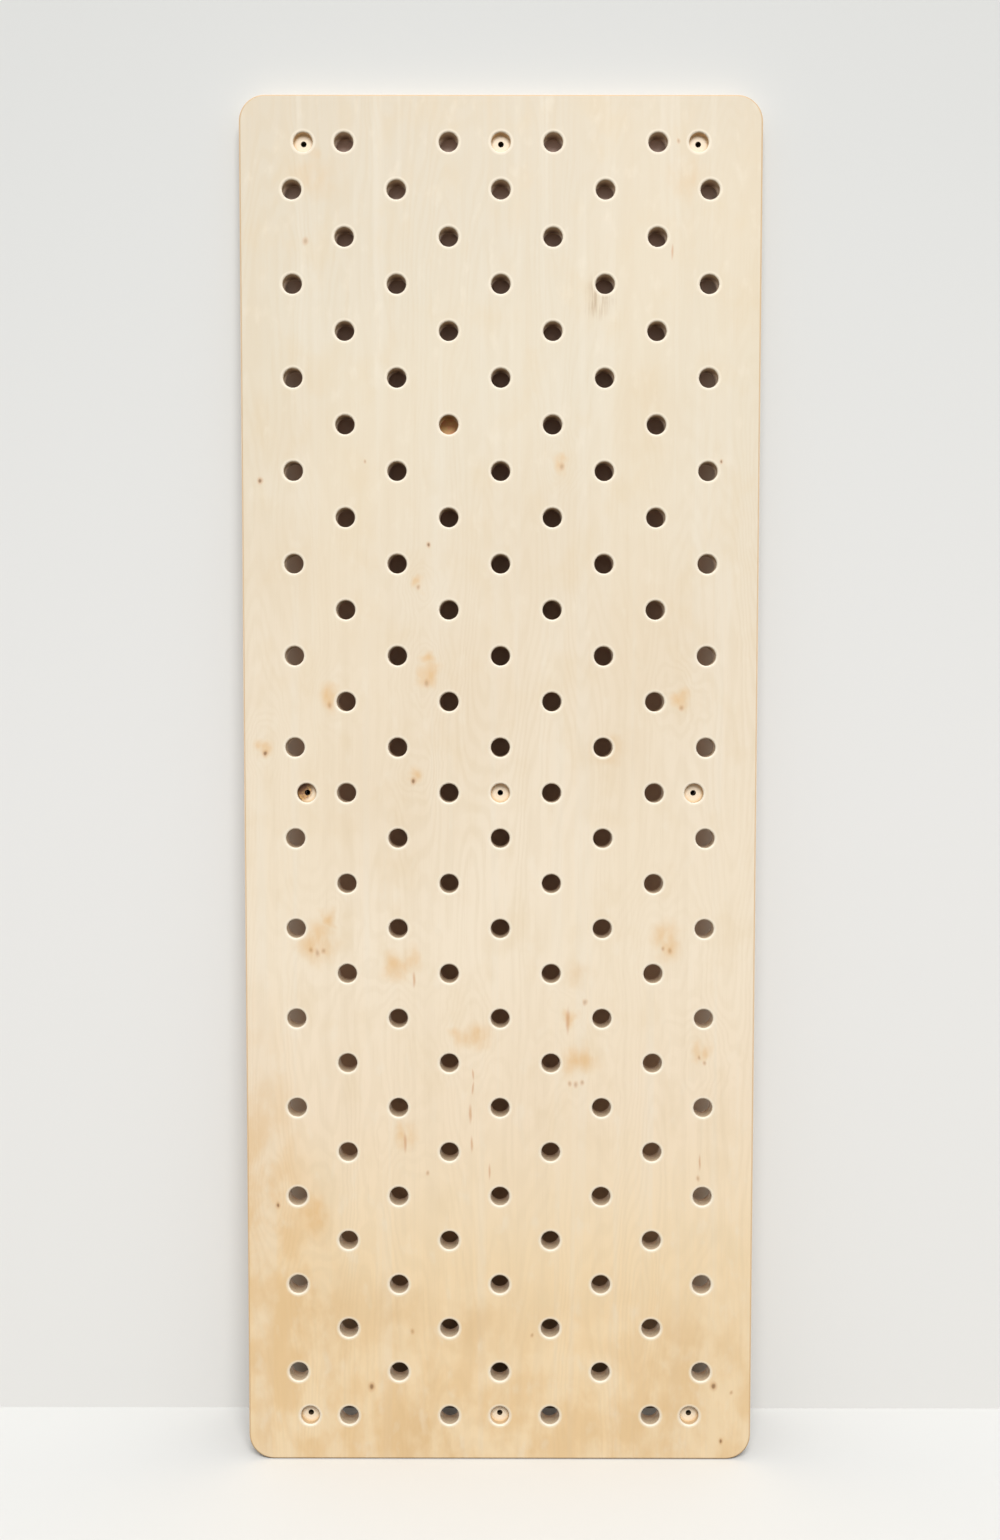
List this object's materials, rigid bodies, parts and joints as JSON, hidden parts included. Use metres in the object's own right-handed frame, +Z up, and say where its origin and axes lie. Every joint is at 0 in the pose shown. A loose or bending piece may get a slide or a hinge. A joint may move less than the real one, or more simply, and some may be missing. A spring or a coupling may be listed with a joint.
{
  "type": "climbing pegboard",
  "caption": "Tall birch plywood board with staggered, eased through holes for hand-held climbing pegs and counterbored screw holes that fix it flat to a wall.",
  "frame": {"origin": "middle of the bottom edge, on the glue line between the two sheets", "axes": "+Z up the board, +X to the right as the climber sees it, +Y out of the back face into the wall, so the climber stands on the -Y side"},
  "size_m": [0.9, 0.036, 2.4],
  "materials": {
    "birch_plywood": "satin clear lacquer over birch veneer, with striped plies on cut edges"
  },
  "bodies": {
    "root": {"front_sheet": "birch_plywood", "back_sheet": "birch_plywood"}
  },
  "joints": []
}
